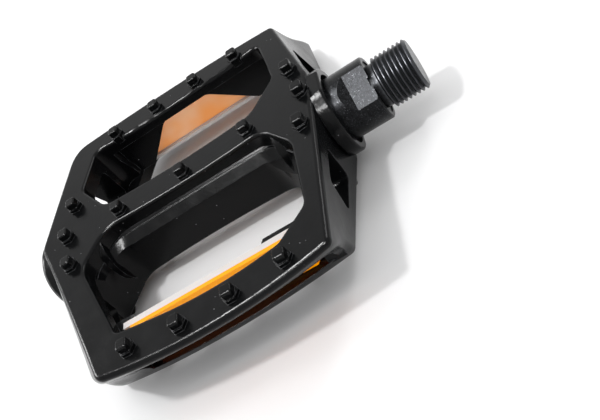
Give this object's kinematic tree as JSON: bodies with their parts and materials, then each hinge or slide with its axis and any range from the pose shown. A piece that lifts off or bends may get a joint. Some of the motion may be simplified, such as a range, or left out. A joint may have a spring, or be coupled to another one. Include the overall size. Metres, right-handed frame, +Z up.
{
  "type": "flat pedal",
  "caption": "Right-hand flat bicycle pedal: cast cage-type platform with raised studs on both faces, amber reflectors fore and aft, turning on a threaded spindle with ball bearings.",
  "frame": {"origin": "on the axle axis, in the spindle's shoulder face that meets the crank", "axes": "+X along the axle towards the crank; +Z up, square to the upper tread face; +Y to the rear of the bicycle"},
  "size_m": [0.12, 0.1122, 0.0282],
  "materials": {
    "casting": "cast, satin black coat",
    "spindle_steel": "turned, black oxide",
    "bearing_steel": "hardened and ground",
    "ball_steel": "polished",
    "zinc_steel": "zinc plated",
    "seal_rubber": "matte",
    "cap_plastic": "satin moulded",
    "housing_plastic": "translucent moulded",
    "amber_lens": "clear prismatic"
  },
  "bodies": {
    "spindle_assembly": {"spindle": "spindle_steel", "outer_cone": "bearing_steel", "lock_washer": "zinc_steel", "lock_nut": "zinc_steel"},
    "pedal": {"pedal_body": "casting", "inner_bearing_cup": "bearing_steel", "outer_bearing_cup": "bearing_steel", "inner_dust_seal": "seal_rubber", "dust_cap": "cap_plastic", "rear_reflector_housing": "housing_plastic", "rear_reflector_lens": "amber_lens", "front_reflector_housing": "housing_plastic", "front_reflector_lens": "amber_lens"},
    "inner_balls": {"inner_bearing_balls": "ball_steel"},
    "outer_balls": {"outer_bearing_balls": "ball_steel"}
  },
  "joints": [
    {"name": "pedal_spin", "type": "hinge", "parent": "spindle_assembly", "child": "pedal", "pos_m": [0, 0, 0], "axis": [1, 0, 0], "continuous": true},
    {"name": "inner_balls_roll", "type": "hinge", "parent": "spindle_assembly", "child": "inner_balls", "pos_m": [-0.0175, 0, 0], "axis": [1, 0, 0], "continuous": true},
    {"name": "outer_balls_roll", "type": "hinge", "parent": "spindle_assembly", "child": "outer_balls", "pos_m": [-0.096, 0, 0], "axis": [1, 0, 0], "continuous": true}
  ],
  "couplings": [
    {"joint": "inner_balls_roll", "follows": "pedal_spin", "ratio": 0.585},
    {"joint": "outer_balls_roll", "follows": "pedal_spin", "ratio": 0.585}
  ]
}
